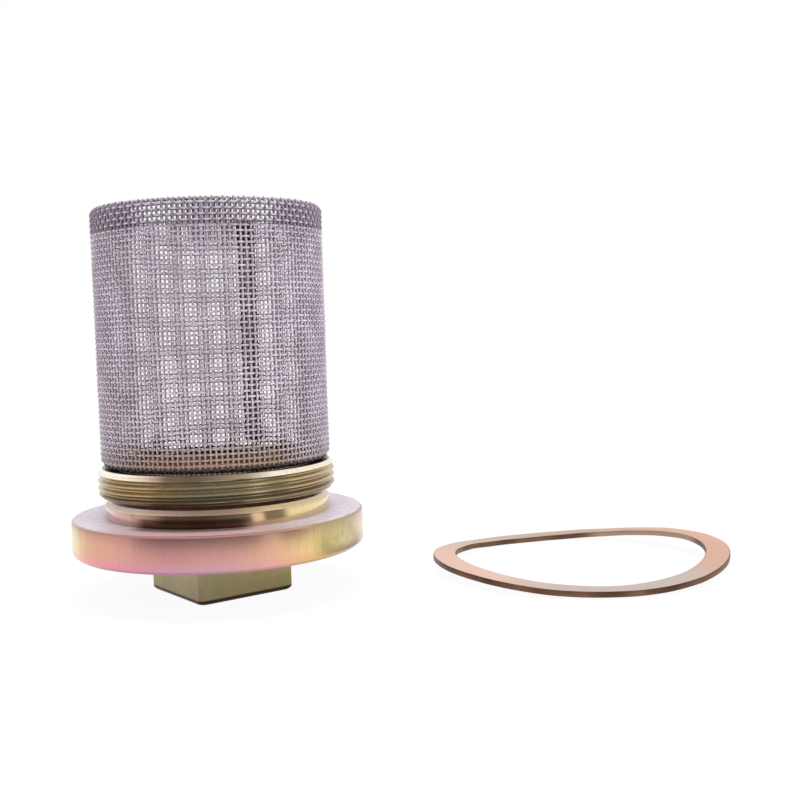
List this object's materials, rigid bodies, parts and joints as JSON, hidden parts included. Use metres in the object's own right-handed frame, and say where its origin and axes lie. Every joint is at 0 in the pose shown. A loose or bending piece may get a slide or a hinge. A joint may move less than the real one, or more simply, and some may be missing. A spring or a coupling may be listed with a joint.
{
  "type": "oil drain plug",
  "caption": "Flanged oil drain plug with a square drive boss, a threaded neck and an open woven wire strainer, with its copper sealing washer lying beside it.",
  "frame": {"origin": "centre of the square drive boss's foot, on the surface that the plug stands on", "axes": "+Z along the thread's axis, up through the open end of the screen; +X towards the washer that lies beside the plug"},
  "size_m": [0.1734, 0.0917, 0.0975],
  "materials": {
    "plated_steel": "turned and milled steel with yellow passivated zinc plating",
    "steel_wire": "bright drawn wire, plain woven",
    "copper": "soft rolled copper sheet, lightly oxidised"
  },
  "bodies": {
    "root": {"plug_body": "plated_steel", "strainer_screen": "steel_wire", "sealing_washer": "copper"}
  },
  "joints": []
}
